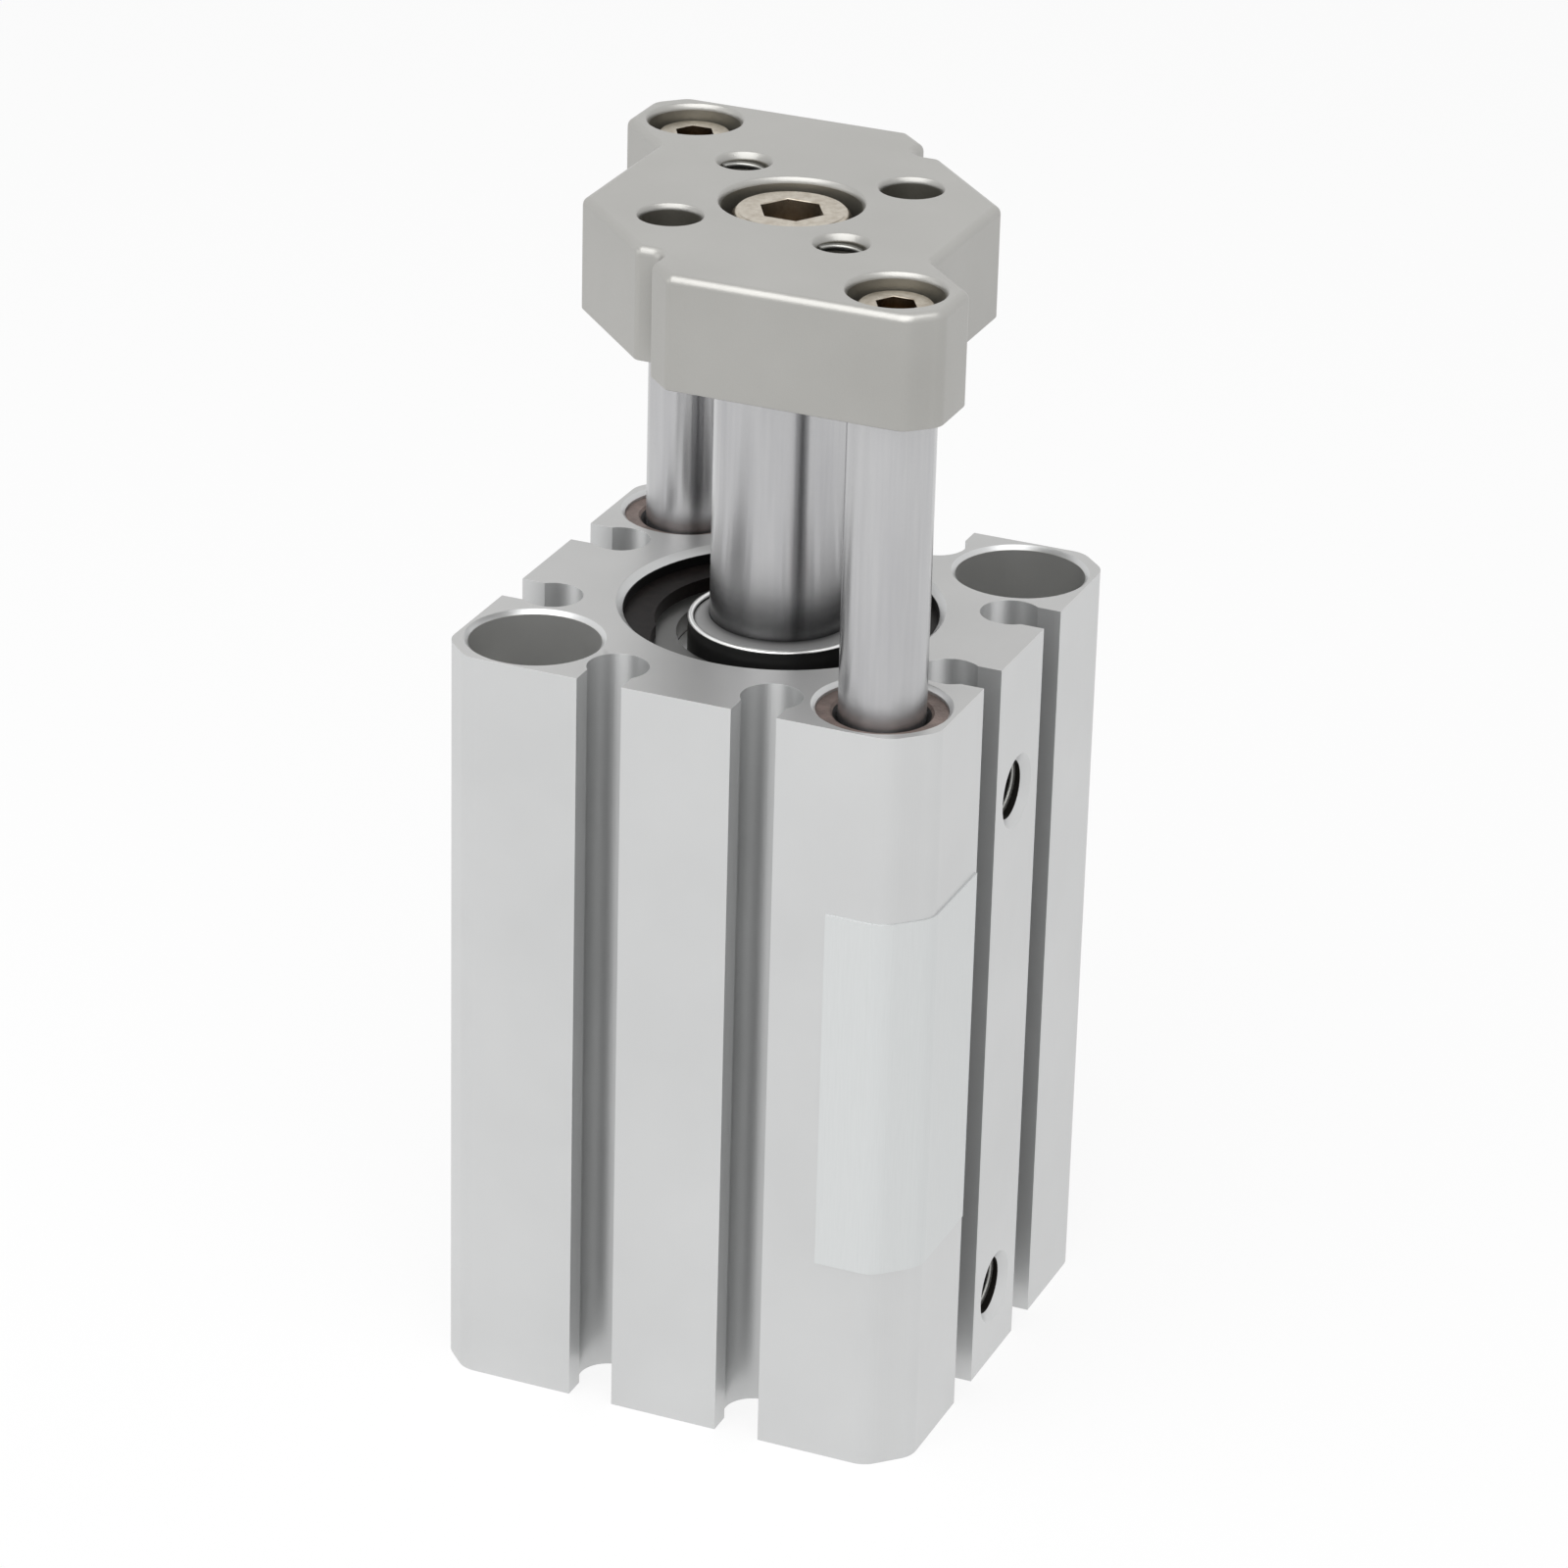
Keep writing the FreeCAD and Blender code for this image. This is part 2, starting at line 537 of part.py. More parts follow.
def make_rod_cover():
    """Flanged sleeve in the tube's mouth: bushing seat, seal pocket, gasket groove, air nose."""
    flange = end_seat_radius - s.press_gap
    nose = s.bore_radius - s.cover_nose_gap
    length = s.cover_length
    shoulder = cover_shoulder - cover_bottom
    groove_high = length - s.cover_gasket_drop
    groove_low = groove_high - s.gasket_groove_width
    groove_floor = flange - s.gasket_thickness
    passage = s.rod_radius + s.clear_gap
    bushing_seat = s.rod_radius + s.running_gap + s.rod_bushing_thickness + s.press_gap
    pocket = length - s.cover_pocket_depth
    bushing_top = pocket - s.cover_lip
    seat_top = s.bumper_seat_depth
    seat_inner = bumper_inner_radius - s.ring_gap
    seat_outer = bumper_outer_radius + s.ring_gap
    turned_body("rod_cover", [
        (bushing_seat, ZERO), (seat_inner, ZERO), (seat_inner, seat_top), (seat_outer, seat_top),
        (seat_outer, ZERO), (nose, ZERO), (nose, shoulder), (flange, shoulder),
        (flange, groove_low), (groove_floor, groove_low), (groove_floor, groove_high),
        (flange, groove_high), (flange, length), (cover_pocket_radius, length),
        (cover_pocket_radius, pocket), (passage, pocket), (passage, bushing_top),
        (bushing_seat, bushing_top),
    ], z=cover_bottom)


def make_rod_bushing():
    """Plain bushing pressed into the rod cover."""
    inner = s.rod_radius + s.running_gap
    length = pocket_floor - s.cover_lip - cover_bottom
    turned_body("rod_bushing", tube_ring(inner, inner + s.rod_bushing_thickness, ZERO, length),
                z=cover_bottom)


def make_rod_seal():
    """Lip seal on the rod: two lips with a valley, open towards the pressure below."""
    inner = s.rod_radius + s.running_gap
    outer = cover_pocket_radius - s.ring_gap
    middle = (inner + outer) / 2
    lip = (outer - inner) / 4
    top = s.rod_seal_height
    turned_body("rod_seal", [
        (inner, ZERO), (inner + lip, ZERO), (middle, s.rod_seal_valley), (outer - lip, ZERO),
        (outer, ZERO), (outer, top), (inner, top),
    ], z=pocket_floor)


def make_scraper():
    """Metal case with a foot in the cover's pocket, and the lip that rises inside it."""
    foot = cover_pocket_radius - s.ring_gap
    case_inner = scraper_radius - s.scraper_wall
    bottom = pocket_floor + s.rod_seal_height
    height = scraper_top - bottom
    lip_inner = s.rod_radius + s.running_gap
    lip_outer = case_inner - s.ring_gap
    rim = height - s.scraper_lip_step
    turned_body("scraper_case", [
        (case_inner, ZERO), (foot, ZERO), (foot, s.scraper_foot_height),
        (scraper_radius, s.scraper_foot_height), (scraper_radius, height),
        (case_inner, height),
    ], z=bottom)
    turned_body("scraper_lip", [
        (lip_inner, ZERO), (lip_outer, ZERO), (lip_outer, rim),
        (lip_inner, rim + s.scraper_lip_rise),
    ], z=bottom)


def make_retaining_ring():
    """Snap ring over the rod cover, thinner towards the gap between its ends."""
    body = new_body("retaining_ring", z=cover_top)
    outer = clip_groove_radius - s.ring_gap
    inner = outer - s.clip_width
    sketch = new_sketch(body, "disc", "XY_Plane")
    draw_circle(sketch, ZERO, ZERO, outer)
    extrude(body, sketch, "Pad", s.clip_thickness)
    drill(body, "inside", inner, s.clip_thickness)
    drill(body, "taper", inner - s.clip_taper_step, s.clip_thickness, y=-s.clip_taper_offset)
    opening = new_sketch(body, "opening", "XY_Plane", s.clip_thickness)
    half_gap = s.clip_opening / 2
    outside = -outer - s.cut_margin
    draw_polygon(opening, [
        (-half_gap, outside), (half_gap, outside),
        (half_gap, -s.clip_taper_offset), (-half_gap, -s.clip_taper_offset)])
    extrude(body, opening, "Pocket", s.clip_thickness).Type = "ThroughAll"


def make_guide_bushes():
    """Two sintered bushes for each guide rod, chamfered at both mouths."""
    inner = s.guide_rod_radius + s.running_gap
    mouth = inner + s.guide_bush_chamfer
    length = s.guide_bush_length
    outline = [
        (mouth, ZERO), (guide_bush_radius, ZERO), (guide_bush_radius, length),
        (mouth, length), (inner, length - s.guide_bush_chamfer), (inner, s.guide_bush_chamfer),
    ]
    for corner, side in (("front", 1), ("back", -1)):
        for level, height in (("lower", lower_bush_bottom), ("upper", upper_bush_bottom)):
            turned_body(f"{level}_guide_bush_{corner}", outline,
                        x=guide_place * side, y=-guide_place * side, z=height)


def make_label():
    """Thin blank sticker folded round the front corner of the tube."""
    body = new_body("blank_label", z=body_height - s.label_drop - s.label_height)
    near = half_width - s.guide_corner_cut
    skin = s.label_thickness
    skin_near = near + skin * math.tan(math.radians(22.5))
    front_end = half_width - s.label_front_width
    side_end = slot_place + s.slot_mouth / 2 + s.label_side_margin
    inner_folds = [(near, -half_width), (half_width, -near)]
    outer_folds = [(half_width + skin, -skin_near), (skin_near, -half_width - skin)]
    sketch = new_sketch(body, "strip", "XY_Plane")
    draw_polygon(sketch, [
        (front_end, -half_width), *inner_folds, (half_width, -side_end),
        (half_width + skin, -side_end), *outer_folds, (front_end, -half_width - skin),
    ])
    pad = extrude(body, sketch, "Pad", s.label_height)
    inner = round_edges(body, pad, "inner_folds", s.body_corner_round,
                        lambda shape: upright_edges(shape, inner_folds, True))
    round_edges(body, inner, "outer_folds", s.body_corner_round + skin,
                lambda shape: upright_edges(shape, outer_folds, True))


# What moves with the piston rod.

def make_piston():
    """Piston with grooves for its seal, magnet and wear ring, riveted on the rod's spigot."""
    end_radius = piston_radius - s.piston_end_chamfer
    length = piston_length
    wear_floor = s.bore_radius - s.running_gap - s.wear_ring_thickness - s.ring_gap
    hole = spigot_radius + s.ring_gap
    rivet_radius = hole + s.rivet_height
    gasket_seat = hole + s.rod_gasket_thickness
    gasket_floor = length - s.rod_gasket_thickness
    turned_body("piston", [
        (rivet_radius, ZERO), (end_radius, ZERO), (piston_radius, s.piston_end_chamfer),
        (piston_radius, wear_low), (wear_floor, wear_low), (wear_floor, wear_high),
        (piston_radius, wear_high), (piston_radius, magnet_low),
        (seal_groove_floor, magnet_low), (seal_groove_floor, magnet_high),
        (piston_radius, magnet_high), (piston_radius, seal_low),
        (seal_groove_floor, seal_low), (seal_groove_floor, seal_high),
        (piston_radius, seal_high), (piston_radius, length - s.piston_end_chamfer),
        (end_radius, length), (gasket_seat, length), (gasket_seat, gasket_floor),
        (hole, gasket_floor), (hole, s.rivet_height),
    ], z=piston_bottom)

    running = s.bore_radius - s.running_gap
    groove_floor = seal_groove_floor + s.ring_gap
    turned_body("wear_ring", tube_ring(
        wear_floor + s.ring_gap, running, wear_low + s.ring_gap, wear_high - s.ring_gap,
    ), z=piston_bottom)
    turned_body("piston_magnet", tube_ring(
        groove_floor, piston_radius - s.ring_gap, magnet_low + s.ring_gap,
        magnet_high - s.ring_gap,
    ), z=piston_bottom)
    seal_middle = (seal_low + seal_high) / 2
    turned_body("piston_seal", [
        (groove_floor, seal_low + s.ring_gap), (running, seal_low + s.ring_gap),
        (running - s.seal_lip, seal_middle), (running, seal_high - s.ring_gap),
        (groove_floor, seal_high - s.ring_gap),
    ], z=piston_bottom)
    make_round_ring("rod_gasket", hole, gasket_seat,
                    piston_bottom + length - s.rod_gasket_thickness / 2)


def make_piston_rod():
    """Rod with a riveted spigot in the piston and a tapped hole under the guide plate."""
    length = plate_bottom - piston_bottom
    shoulder = piston_length
    tapped_end = length - s.centre_shank_length - s.tip_gap + centre_web
    top_radius = s.rod_radius - s.rod_end_chamfer
    turned_body("piston_rod", [
        (ZERO, ZERO), (spigot_radius + s.rivet_height, ZERO),
        (spigot_radius, s.rivet_height), (spigot_radius, shoulder),
        (s.rod_radius, shoulder), (s.rod_radius, length - s.rod_end_chamfer),
        (top_radius, length), (s.centre_shank_radius, length),
        (s.centre_shank_radius, tapped_end), (ZERO, tapped_end),
    ], z=piston_bottom)


def make_guide_rods():
    """Guide rods, chamfered at both ends and tapped at the upper one."""
    tapped_end = guide_rod_length - s.side_shank_length - s.tip_gap + side_web
    end_radius = s.guide_rod_radius - s.rod_end_chamfer
    outline = [
        (ZERO, ZERO), (end_radius, ZERO), (s.guide_rod_radius, s.rod_end_chamfer),
        (s.guide_rod_radius, guide_rod_length - s.rod_end_chamfer),
        (end_radius, guide_rod_length), (s.side_shank_radius, guide_rod_length),
        (s.side_shank_radius, tapped_end), (ZERO, tapped_end),
    ]
    for corner, side in (("front", 1), ("back", -1)):
        turned_body(f"guide_rod_{corner}", outline,
                    x=guide_place * side, y=-guide_place * side, z=guide_rod_bottom)


def make_guide_plate():
    """Plate with two ears over the guide rods and corner cuts over the mounting holes."""
    body = new_body("guide_plate", z=plate_bottom)
    ear = guide_place + s.plate_ear_margin
    waist = half_width - s.plate_waist_inset
    near = ear - s.plate_ear_cut
    step_end = waist + s.ear_step_height
    side_end = guide_place - s.ear_side_drop
    inner_corner = side_end - (ear - waist)
    outline = mirrored_points([
        (-waist, -s.plate_corner_reach), (-s.plate_corner_reach, -waist),
        (-s.ear_step, -waist), (-s.ear_step, -step_end),
        (-s.ear_long_start, -ear), (near, -ear), (ear, -near), (ear, -side_end),
        (waist, -inner_corner),
    ])
    sketch = new_sketch(body, "outline", "XY_Plane")
    draw_polygon(sketch, outline)
    pad = extrude(body, sketch, "Pad", s.plate_thickness)
    step_feet = mirrored_points([(-s.ear_step, -waist)])
    ear_corners = mirrored_points([(near, -ear), (ear, -near)])
    corners = round_edges(body, pad, "corners", s.plate_corner_round,
                          lambda shape: upright_edges(shape, step_feet + ear_corners, False))
    feet = round_edges(body, corners, "step_feet", s.ear_step_round,
                       lambda shape: upright_edges(shape, step_feet, True))
    ears = round_edges(body, feet, "ear_corners", s.ear_corner_round,
                       lambda shape: upright_edges(shape, ear_corners, True))
    round_edges(body, ears, "upper_edge", s.plate_edge_round, upper_edges)
    drill_plate(body, "centre", s.centre_shank_radius, s.centre_head_radius + s.centre_head_gap,
                centre_counterbore_depth, ZERO, ZERO)
    for name, side in (("front", 1), ("back", -1)):
        drill_plate(body, name, s.side_shank_radius, s.side_head_radius + s.side_head_gap,
                    side_counterbore_depth, guide_place * side, -guide_place * side)
        drill_payload_holes(body, name, side)


def round_edges(body, feature, name, radius, choose):
    """Rounds the edges of a feature's shape that the given function names."""
    doc.recompute()
    rounding = body.newObject("PartDesign::Fillet", f"{body.Label}_{name}")
    rounding.Base = (feature, choose(feature.Shape))
    bind(rounding, Radius=radius)
    return rounding


def upright_edges(shape, places, wanted):
    """Names of the upright edges that stand at the given places, or of all the others."""
    return [f"Edge{number}" for number, edge in enumerate(shape.Edges, start=1)
            if edge.BoundBox.ZLength > LENGTH_TOLERANCE and stands_at(edge, places) == wanted]


def stands_at(edge, places):
    """Whether an upright edge stands at one of the places."""
    foot = edge.Vertexes[0]
    return any(math.hypot(foot.X - x.value, foot.Y - y.value) < LENGTH_TOLERANCE
               for x, y in places)


def upper_edges(shape):
    """Names of the edges that lie in the shape's upper face."""
    top = shape.BoundBox.ZMax
    return [f"Edge{number}" for number, edge in enumerate(shape.Edges, start=1)
            if all(abs(vertex.Z - top) < LENGTH_TOLERANCE for vertex in edge.Vertexes)]


def drill_plate(body, name, shank_radius, counterbore_radius, counterbore_depth, x, y):
    """A screw's hole and chamfered counterbore in the guide plate."""
    thickness = s.plate_thickness
    rim_depth = s.plate_rim_depth
    drill(body, f"{name}_screw_hole", shank_radius + s.shank_clearance, thickness, x=x, y=y)
    drill(body, f"{name}_counterbore", counterbore_radius, counterbore_depth,
          x=x, y=y, z=thickness - counterbore_depth)
    countersink(body, f"{name}_counterbore_rim", counterbore_radius,
                counterbore_radius + s.plate_rim_chamfer, rim_depth,
                x=x, y=y, z=thickness - rim_depth)


def drill_payload_holes(body, name, side):
    """One plain and one tapped hole for what is fixed on the plate, both countersunk."""
    thickness = s.plate_thickness
    rim_depth = s.plate_rim_depth
    plain = {"x": payload_place * side, "y": payload_place * side}
    tapped = {"x": payload_place * side, "y": -payload_place * side}
    drill(body, f"{name}_plain_hole", s.payload_plain_radius, thickness, **plain)
    countersink(body, f"{name}_plain_rim", s.payload_plain_radius,
                s.payload_plain_radius + s.plate_rim_chamfer, rim_depth,
                z=thickness - rim_depth, **plain)
    drill(body, f"{name}_tapped_hole", s.payload_thread_radius, thickness, **tapped)
    countersink(body, f"{name}_tapped_rim", s.payload_thread_radius, s.payload_thread_rim,
                rim_depth, z=thickness - rim_depth, **tapped)


def make_screw(label, head, shank, hex_size, place):
    """Socket head screw standing on its tip: shank, chamfered head and hexagon socket."""
    head_radius, head_height = head
    shank_radius, shank_length = shank
    across_flats, socket_depth = hex_size
    top = shank_length + head_height
    chamfer = s.screw_edge_chamfer
    body = new_body(label, **place)
    turn(body, "profile", [
        (ZERO, ZERO), (shank_radius - chamfer, ZERO), (shank_radius, chamfer),
        (shank_radius, shank_length), (head_radius, shank_length), (head_radius, top - chamfer),
        (head_radius - chamfer, top), (ZERO, top),
    ])
    corner = across_flats / math.sqrt(3)
    angles = [math.tau * index / HEX_CORNERS for index in range(HEX_CORNERS)]
    socket = new_sketch(body, "socket", "XY_Plane", top)
    draw_polygon(socket, [
        (corner * math.cos(angle), corner * math.sin(angle)) for angle in angles])
    extrude(body, socket, "Pocket", socket_depth)


def make_screws():
    """Centre screw in the piston rod, and one screw in each guide rod."""
    make_screw("centre_screw",
               head=(s.centre_head_radius, s.centre_head_height),
               shank=(s.centre_shank_radius - s.thread_gap, s.centre_shank_length),
               hex_size=(s.centre_hex, s.centre_hex_depth),
               place={"z": plate_bottom + centre_web - s.centre_shank_length})
    for corner, side in (("front", 1), ("back", -1)):
        make_screw(f"guide_screw_{corner}",
                   head=(s.side_head_radius, s.side_head_height),
                   shank=(s.side_shank_radius - s.thread_gap, s.side_shank_length),
                   hex_size=(s.side_hex, s.side_hex_depth),
                   place={"x": guide_place * side, "y": -guide_place * side,
                          "z": plate_bottom + side_web - s.side_shank_length})


def failed_objects():
    """Everything in the document that did not compute, or left no sound solid."""
    faults = [f"{item.Label}: {item.State}" for item in doc.Objects
              if "Invalid" in item.State or "Error" in item.State]
    for body in sub_parts():
        shape = body.Shape
        if shape.isNull() or not shape.isValid() or len(shape.Solids) != 1:
            faults.append(f"{body.Label}: no single valid solid")
        for feature in body.Group:
            if cuts_nothing(feature):
                faults.append(f"{feature.Label}: cuts nothing")
    return faults


def cuts_nothing(feature):
    """True for a cutting feature that left its base as it was."""
    cutters = ("PartDesign::Pocket", "PartDesign::Groove", "PartDesign::SubtractiveCylinder",
               "PartDesign::SubtractiveCone")
    if feature.TypeId not in cutters:
        return False
    return feature.Shape.Volume >= feature.BaseFeature.Shape.Volume - VOLUME_TOLERANCE


def sub_parts():
    return [item for item in doc.Objects if item.TypeId == "PartDesign::Body"]


make_tube()
make_bottom_plate()
make_static_gaskets()
make_bumpers()
make_rod_cover()
make_rod_bushing()
make_rod_seal()
make_scraper()
make_retaining_ring()
make_guide_bushes()
make_label()
make_piston()
make_piston_rod()
make_guide_rods()
make_guide_plate()
make_screws()
doc.recompute()

faults = failed_objects()
if faults:
    raise RuntimeError("\n".join(faults))

os.makedirs("parts", exist_ok=True)
for body in sub_parts():
    body.Shape.exportStep(f"parts/{body.Label}.step")
    print(f"{body.Label}: {body.Shape.Volume:.1f} mm3")
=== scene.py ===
import json
import math

import bpy
from mathutils import Matrix, Vector


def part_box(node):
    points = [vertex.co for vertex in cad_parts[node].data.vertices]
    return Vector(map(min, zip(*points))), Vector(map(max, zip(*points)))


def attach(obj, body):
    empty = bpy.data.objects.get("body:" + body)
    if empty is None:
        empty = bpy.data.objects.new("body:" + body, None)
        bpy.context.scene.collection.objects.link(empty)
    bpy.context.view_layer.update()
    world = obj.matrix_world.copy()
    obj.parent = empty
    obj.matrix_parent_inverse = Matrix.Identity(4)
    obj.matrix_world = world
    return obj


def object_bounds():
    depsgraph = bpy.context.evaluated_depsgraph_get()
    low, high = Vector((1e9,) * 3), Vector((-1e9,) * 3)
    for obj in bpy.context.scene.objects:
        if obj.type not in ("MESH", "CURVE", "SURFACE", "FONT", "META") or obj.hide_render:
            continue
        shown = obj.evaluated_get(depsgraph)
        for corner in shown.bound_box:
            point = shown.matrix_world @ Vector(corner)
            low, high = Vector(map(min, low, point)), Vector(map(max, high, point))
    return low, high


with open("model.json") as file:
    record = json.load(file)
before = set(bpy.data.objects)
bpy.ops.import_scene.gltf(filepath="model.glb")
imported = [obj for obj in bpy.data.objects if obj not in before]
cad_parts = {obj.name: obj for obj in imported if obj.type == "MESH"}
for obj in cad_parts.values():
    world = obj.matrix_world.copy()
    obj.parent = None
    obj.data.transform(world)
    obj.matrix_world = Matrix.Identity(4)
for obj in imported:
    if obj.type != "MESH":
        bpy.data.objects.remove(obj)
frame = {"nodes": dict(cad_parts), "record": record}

cad_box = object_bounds()

MM = 0.001

# The camera, aimed at a point inside the tube, a little off its axis.
CAMERA_AIM = Vector((-1.27, 4.42, 39.86)) * MM
CAMERA_AZIMUTH = 22.48
CAMERA_ELEVATION = 24.867
CAMERA_ROLL = 1.546
CAMERA_DISTANCE = 423.36 * MM
CAMERA_LENS = 136.26

# Small breaks on the edges of the machined pieces, by node: width in metres, and the turn in
# degrees from which an edge is broken. The screws' hex corners turn by 60 and stay sharp.
EDGE_BREAKS = {
    "cylinder_tube": (0.12 * MM, 35),
    "guide_plate": (0.15 * MM, 35),
    "centre_screw": (0.08 * MM, 75),
    "guide_screw_front": (0.06 * MM, 75),
    "guide_screw_back": (0.06 * MM, 75),
}

# The radii of the counterbores and the bore and the depth of the ports, within which the walls
# have a colour of their own, painted near black as shade in the bore and the ports, and a margin
# outside the radius of any other hole, over which painted shade and reflection reach.
COUNTERBORE_REACH = 4.63 * MM
BORE_REACH = 11.04 * MM
PORT_REACH = 7.0 * MM
PAINTED_DARK_MARGIN = 0.02 * MM

# The gaps round the screws' heads in the guide plate's counterbores.
SCREW_GAPS = {
    "centre_screw": 0.75 * MM,
    "guide_screw_front": 0.45 * MM,
    "guide_screw_back": 0.45 * MM,
}

# The painted shade of the gap round each guide rod, and the wiper's inner and outer radius.
SHADED_GAP_WIDTH = 0.33 * MM
WIPER_INNER_RADIUS = 5.0 * MM
WIPER_OUTER_RADIUS = 6.15 * MM

# Thread crests: the pitch, the depth of the first crest below the hole's mouth, and the turns.
# A crest stands in from the hole's wall, its root lies in the wall, and its flanks reach a share
# of the pitch to either side.
PORT_THREAD = (0.8 * MM, 0.85 * MM, 5)
PLATE_THREAD = (0.7 * MM, 0.75 * MM, 9)
THREAD_HEIGHT = 0.19 * MM
THREAD_ROOT = 0.02 * MM
THREAD_FLANK_PITCHES = 0.42
THREAD_STEPS_PER_TURN = 40

# The rolled rim on top of the scraper's case, sunk a little below its top.
SCRAPER_RADIUS = 6.5 * MM
RIM_THICKNESS = 0.2 * MM
RIM_SINK = 0.05 * MM

# The floor in metres, a hair below the foot so that the two faces don't coincide, and the share
# of it that glows white where it is seen; the world's strength for diffuse light.
FLOOR_HALF_WIDTH = 3.0
FLOOR_GAP = 0.01 * MM
FLOOR_GLOW_SHARE = 0.86
WORLD_FILL = 0.44


# Node materials.

class NodeTree:
    """A material's node tree, with short calls to add and join nodes."""

    def __init__(self, name):
        self.material = bpy.data.materials.new(name)
        self.material.use_nodes = True
        self.tree = self.material.node_tree
        self.shader = self.tree.nodes["Principled BSDF"]

    def node(self, kind, **inputs):
        """Adds a node; inputs are values or other nodes' outputs, named as on the node."""
        made = self.tree.nodes.new(f"ShaderNode{kind}")
        for name, value in inputs.items():
            self.feed(made.inputs[name.replace("_", " ")], value)
        return made

    def feed(self, socket, value):
        """Joins another node's output to the socket, or sets the socket to a value."""
        if isinstance(value, bpy.types.NodeSocket):
            self.tree.links.new(value, socket)
        else:
            socket.default_value = value

    def math(self, operation, first, second=0.0):
        made = self.tree.nodes.new("ShaderNodeMath")
        made.operation = operation
        self.feed(made.inputs[0], first)
        self.feed(made.inputs[1], second)
        return made.outputs[0]

    def place(self):
        """Coordinates in metres that stay with the piece."""
        return self.node("TexCoord").outputs["Object"]

    def stretched(self, vector, scale):
        """The coordinates with each axis scaled, so that a pattern runs along one of them."""
        return self.node("Mapping", Vector=vector, Scale=scale).outputs["Vector"]

    def length(self, vector):
        made = self.node("VectorMath")
        made.operation = "LENGTH"
        self.feed(made.inputs[0], vector)
        return made.outputs["Value"]

    def noise(self, vector, scale, detail=3.0, roughness=0.5):
        made = self.node("TexNoise", Vector=vector, Scale=scale, Detail=detail,
                         Roughness=roughness)
        return made.outputs["Fac"]

    def between(self, factor, low, high):
        """A value that runs from low to high as the factor runs from 0 to 1."""
        return self.node("MapRange", Value=factor, To_Min=low, To_Max=high).outputs["Result"]

    def ramp(self, factor, stops):
        """Maps a factor through (position, colour or grey) stops."""
        made = self.node("ValToRGB", Fac=factor)
        elements = made.color_ramp.elements
        while len(elements) < len(stops):
            elements.new(0.5)
        for element, (position, colour) in zip(elements, stops):
            element.position = position
            element.color = grey(colour) if isinstance(colour, float) else (*colour, 1.0)
        return made.outputs["Color"]

    def mottled(self, pattern, first, second):
        """A colour that wanders between two as the pattern does."""
        return self.ramp(pattern, [(0.3, first), (0.7, second)])

    def painted_hollow_shade(self, colour, reach, darkest, own=True, closed=0.25, clear=0.85):
        """The colour with painted shade in the piece's own recesses, or in those of all the
        pieces.

        It is darkest where at most the closed share of the view is open, and as given where at
        least the clear share is.
        """
        openness = self.node("AmbientOcclusion", Distance=reach)
        openness.only_local = own
        shade = self.ramp(openness.outputs["AO"], [(closed, darkest), (clear, 1.0)])
        made = self.node("MixRGB", Fac=1.0, Color1=colour, Color2=shade)
        made.blend_type = "MULTIPLY"
        return made.outputs["Color"]

    def switch(self, test, first, second):
        """The first colour where the test is 0, the second where it is 1."""
        return self.node("MixRGB", Fac=test, Color1=first, Color2=second).outputs["Color"]

    def bump(self, height, depth, normal=None):
        made = self.node("Bump", Height=height, Distance=depth)
        if normal is not None:
            self.feed(made.inputs["Normal"], normal)
        return made.outputs["Normal"]

    def finish(self, **inputs):
        """Sets the shader's sockets and returns the material."""
        for name, value in inputs.items():
            self.feed(self.shader.inputs[name.replace("_", " ")], value)
        return self.material


def grey(value):
    return (value, value, value, 1.0)


def tint(colour, factor):
    return tuple(channel * factor for channel in colour)


def mount(name):
    """One of the record's mounts."""
    return next(entry for entry in frame["record"]["mounts"] if entry["name"] == name)


def centre_and_radius(box):
    """The centre and the radius of a round upright piece, from its box."""
    low, high = box
    return (low + high) / 2, (high.x - low.x) / 2


def plate_hole_offset(name):
    """How far along X and Y the holes of one of the plate's patterns lie from its centre."""
    return mount(name)["dims"]["pcd_mm"] * MM / 2 / math.sqrt(2)


def apart_from(t, place, centre):
    """How far a place lies from the upright axis through the centre."""
    axes = t.node("SeparateXYZ", Vector=place).outputs
    across = t.node("CombineXYZ", X=t.math("SUBTRACT", axes["X"], centre[0]),
                    Y=t.math("SUBTRACT", axes["Y"], centre[1]))
    return t.length(across.outputs["Vector"])


def recolour_holes(t, place, colour, inside, holes):
    """The colour, replaced where the place lies within one of the (centre, radius) holes."""
    for centre, radius in holes:
        test = t.math("LESS_THAN", apart_from(t, place, centre), radius)
        colour = t.switch(test, colour, inside)
    return colour


def inside_port(t, place, name):
    """1 inside one of the air ports, below the chamfer at its mouth."""
    port = mount(name)
    axes = t.node("SeparateXYZ", Vector=place).outputs
    across = t.node("CombineXYZ", Y=axes["Y"], Z=t.math("SUBTRACT", axes["Z"], port["pos_m"][2]))
    near = t.math("LESS_THAN", t.length(across.outputs["Vector"]),
                  port["dims"]["r_mm"] * MM + PAINTED_DARK_MARGIN)
    below_face = t.math("GREATER_THAN", axes["X"], cad_box[1].x - PORT_REACH)
    return t.math("MULTIPLY", near, below_face)


